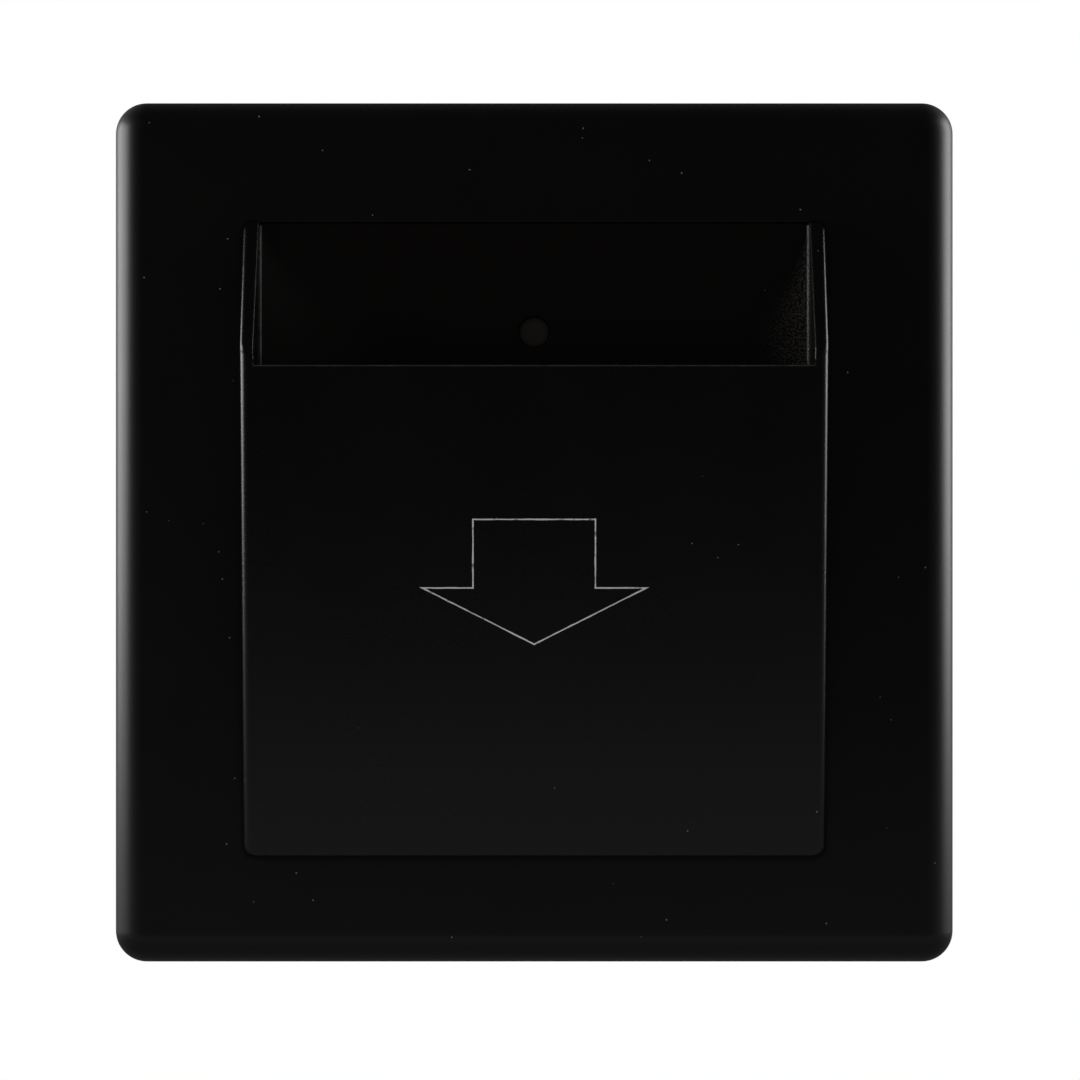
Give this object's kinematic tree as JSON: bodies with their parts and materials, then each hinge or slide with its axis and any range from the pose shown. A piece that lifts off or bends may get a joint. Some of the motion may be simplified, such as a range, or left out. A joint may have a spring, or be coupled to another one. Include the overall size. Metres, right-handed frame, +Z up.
{
  "type": "hotel key card switch",
  "caption": "Square black wall plate with a raised wedge-shaped card pocket and indicator, on a flush back box with a card-reading coil, relay and screw terminals.",
  "frame": {"origin": "middle of the plate on the plane of the wall", "axes": "+X to the right seen from the front, +Y into the wall, +Z up; the front faces -Y"},
  "size_m": [0.086, 0.043, 0.0882],
  "materials": {
    "plate_black": "satin",
    "holder_black": "satin",
    "guide_black": "satin",
    "lens_smoke": "frosted",
    "screw_steel": "zinc plated",
    "frame_grey": "moulded",
    "housing_white": "moulded",
    "board_green": "solder mask",
    "former_cream": "moulded",
    "winding_copper": "enamelled copper wire",
    "led_clear": "clear resin",
    "chip_black": "moulded resin",
    "fuse_body": "glazed",
    "varistor_blue": "dipped resin",
    "film_yellow": "moulded",
    "resistor_blue": "lacquer",
    "can_sleeve": "shrink sleeve",
    "relay_black": "moulded",
    "soft_iron": "nickel plated iron",
    "contact_copper": "copper alloy",
    "relay_blue": "moulded",
    "terminal_grey": "moulded",
    "terminal_brass": "brass",
    "terminal_steel": "zinc plated"
  },
  "bodies": {
    "base": {"mounting_frame": "frame_grey", "rear_housing": "housing_white", "housing_screws": "screw_steel", "main_board": "board_green", "board_screws": "screw_steel", "antenna_former": "former_cream", "antenna_coil": "winding_copper", "led_spacer": "former_cream", "indicator_led": "led_clear", "controller_chip": "chip_black", "reader_chip": "chip_black", "fuse": "fuse_body", "varistor": "varistor_blue", "film_capacitor": "film_yellow", "bleed_resistor": "resistor_blue", "bridge_rectifier": "chip_black", "smoothing_capacitor": "can_sleeve", "regulator": "chip_black", "relay_base": "relay_black", "relay_yoke": "soft_iron", "relay_core": "soft_iron", "relay_bobbin": "former_cream", "relay_winding": "winding_copper", "relay_fixed_contact": "contact_copper", "relay_hinge_clip": "contact_copper", "relay_cover": "relay_blue", "terminal_block": "terminal_grey", "terminal_strips": "terminal_brass"},
    "front": {"front_plate": "plate_black", "card_holder": "holder_black", "card_guide": "guide_black", "indicator_lens": "lens_smoke", "cover_screws": "screw_steel"},
    "armature": {"relay_armature": "soft_iron", "relay_contact_blade": "contact_copper"},
    "screw_1": {"terminal_screw_1": "terminal_steel"},
    "screw_2": {"terminal_screw_2": "terminal_steel"},
    "screw_3": {"terminal_screw_3": "terminal_steel"},
    "clamp_1": {"terminal_clamp_1": "terminal_steel"},
    "clamp_2": {"terminal_clamp_2": "terminal_steel"},
    "clamp_3": {"terminal_clamp_3": "terminal_steel"}
  },
  "joints": [
    {"name": "front_release", "type": "slide", "parent": "base", "child": "front", "axis": [0, -1, 0], "range_m": [0, 0.03]},
    {"name": "armature_tilt", "type": "hinge", "parent": "base", "child": "armature", "pos_m": [-0.0135, 0.0149, 0.0187], "axis": [-1, 0, 0], "range_deg": [0, 5], "stiffness_Nm_per_rad": 0.002, "springref_deg": -5.73},
    {"name": "screw_turn_1", "type": "hinge", "parent": "base", "child": "screw_1", "pos_m": [-0.01, 0.017, -0.0203], "axis": [0, -1, 0], "range_deg": [0, 1800]},
    {"name": "clamp_lift_1", "type": "slide", "parent": "base", "child": "clamp_1", "axis": [0, 1, 0], "range_m": [0, 0.0025]},
    {"name": "screw_turn_2", "type": "hinge", "parent": "base", "child": "screw_2", "pos_m": [0, 0.017, -0.0203], "axis": [0, -1, 0], "range_deg": [0, 1800]},
    {"name": "clamp_lift_2", "type": "slide", "parent": "base", "child": "clamp_2", "axis": [0, 1, 0], "range_m": [0, 0.0025]},
    {"name": "screw_turn_3", "type": "hinge", "parent": "base", "child": "screw_3", "pos_m": [0.01, 0.017, -0.0203], "axis": [0, -1, 0], "range_deg": [0, 1800]},
    {"name": "clamp_lift_3", "type": "slide", "parent": "base", "child": "clamp_3", "axis": [0, 1, 0], "range_m": [0, 0.0025]}
  ],
  "couplings": [
    {"joint": "screw_turn_1", "follows": "clamp_lift_1", "rad_per_m": 12566},
    {"joint": "screw_turn_2", "follows": "clamp_lift_2", "rad_per_m": 12566},
    {"joint": "screw_turn_3", "follows": "clamp_lift_3", "rad_per_m": 12566}
  ]
}
